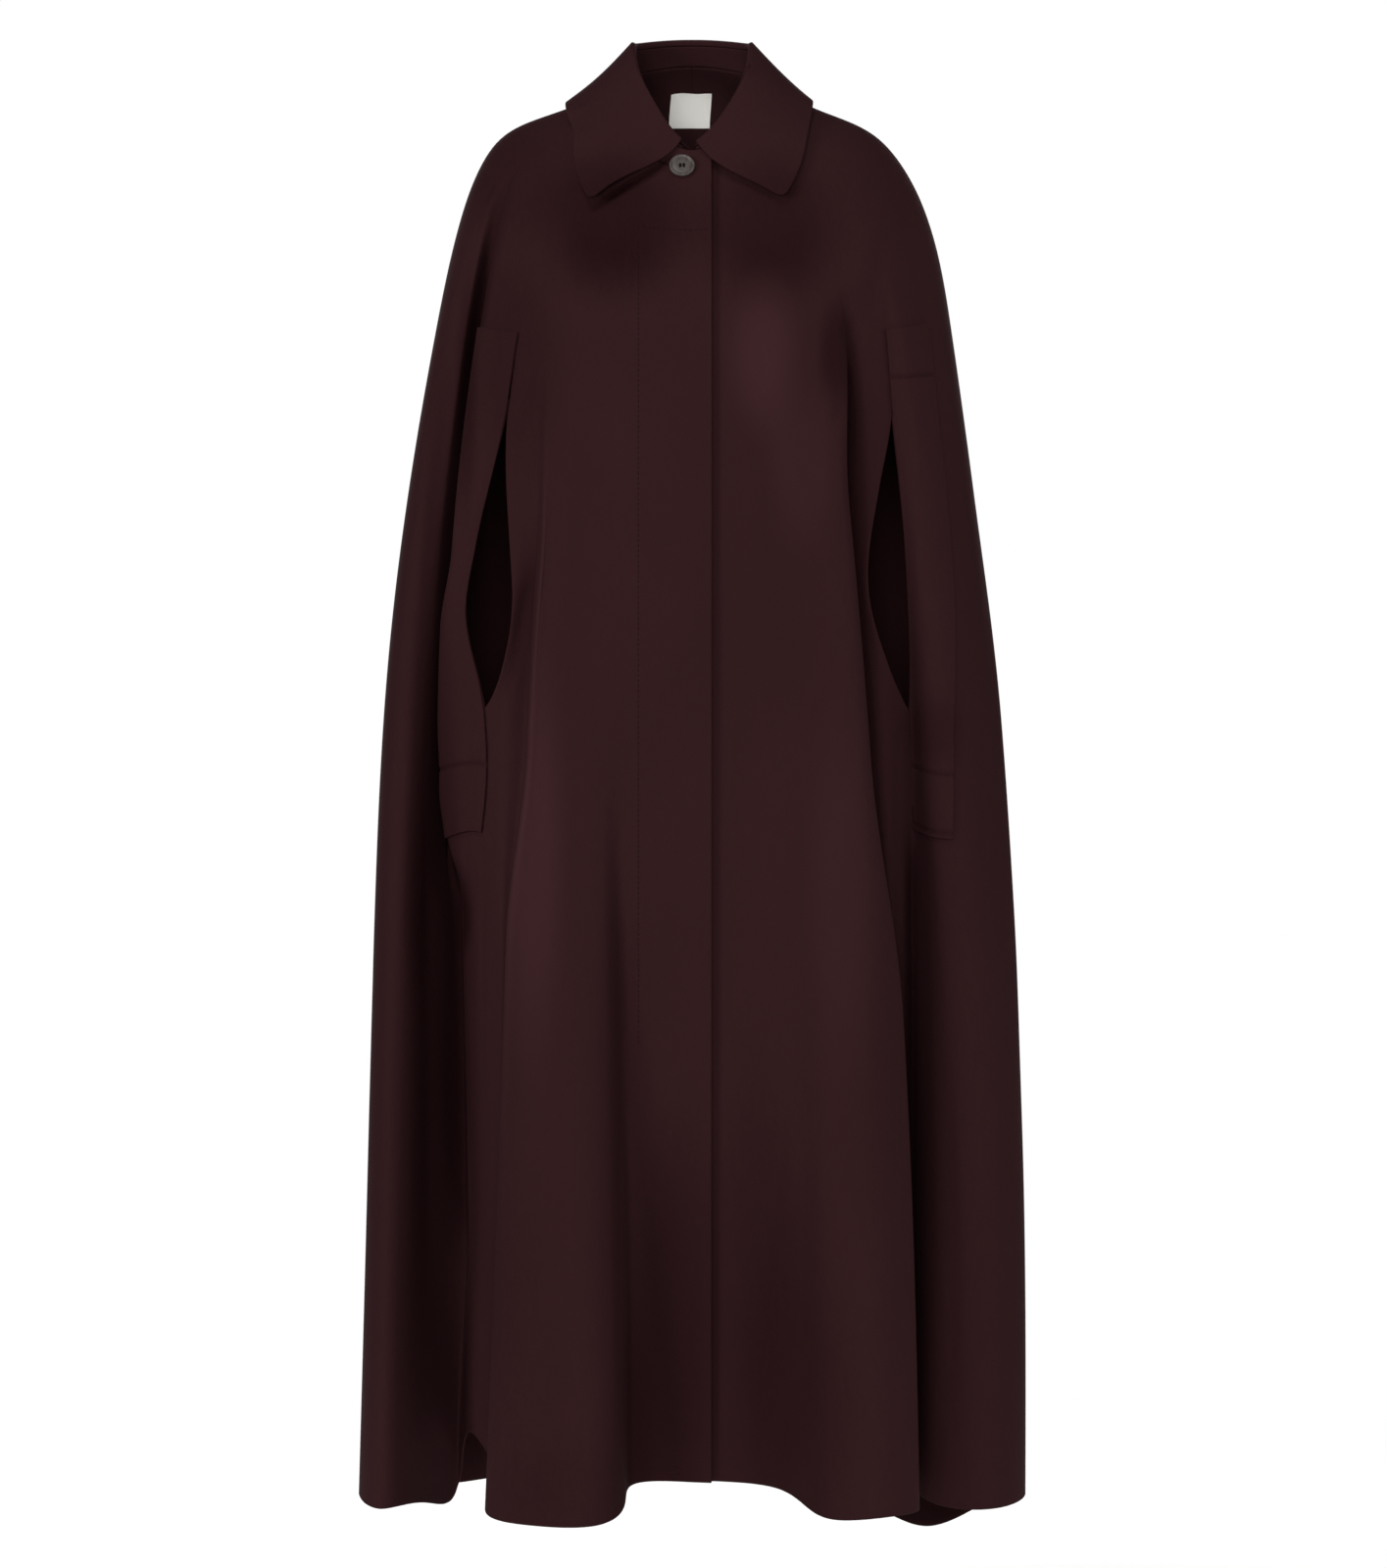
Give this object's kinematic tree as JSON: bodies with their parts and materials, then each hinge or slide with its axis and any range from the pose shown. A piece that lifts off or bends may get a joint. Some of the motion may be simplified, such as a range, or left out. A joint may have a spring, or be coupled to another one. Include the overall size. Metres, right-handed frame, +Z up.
{
  "type": "long wool cape",
  "caption": "Floor-length wool cape with a pointed turn-down collar, a hidden button front, arm slits edged with stitched bands, and deep soft folds down to a wavy hem.",
  "frame": {"origin": "middle of the neck at the height of the shoulder line, where the wearer's shoulders carry the cape", "axes": "+Z up, front towards -Y, +X towards the wearer's left"},
  "size_m": [0.5859, 0.341, 1.3364],
  "materials": {
    "wool": "brushed nap, dark burgundy",
    "horn": "satin grey-brown horn",
    "satin": "woven satin, off-white"
  },
  "bodies": {
    "root": {"front_right": "wool", "front_left": "wool", "back_right": "wool", "back_left": "wool", "collar_stand": "wool", "collar_fall": "wool", "arm_welt_right": "wool", "arm_welt_left": "wool", "button": "horn", "neck_label": "satin"}
  },
  "joints": []
}
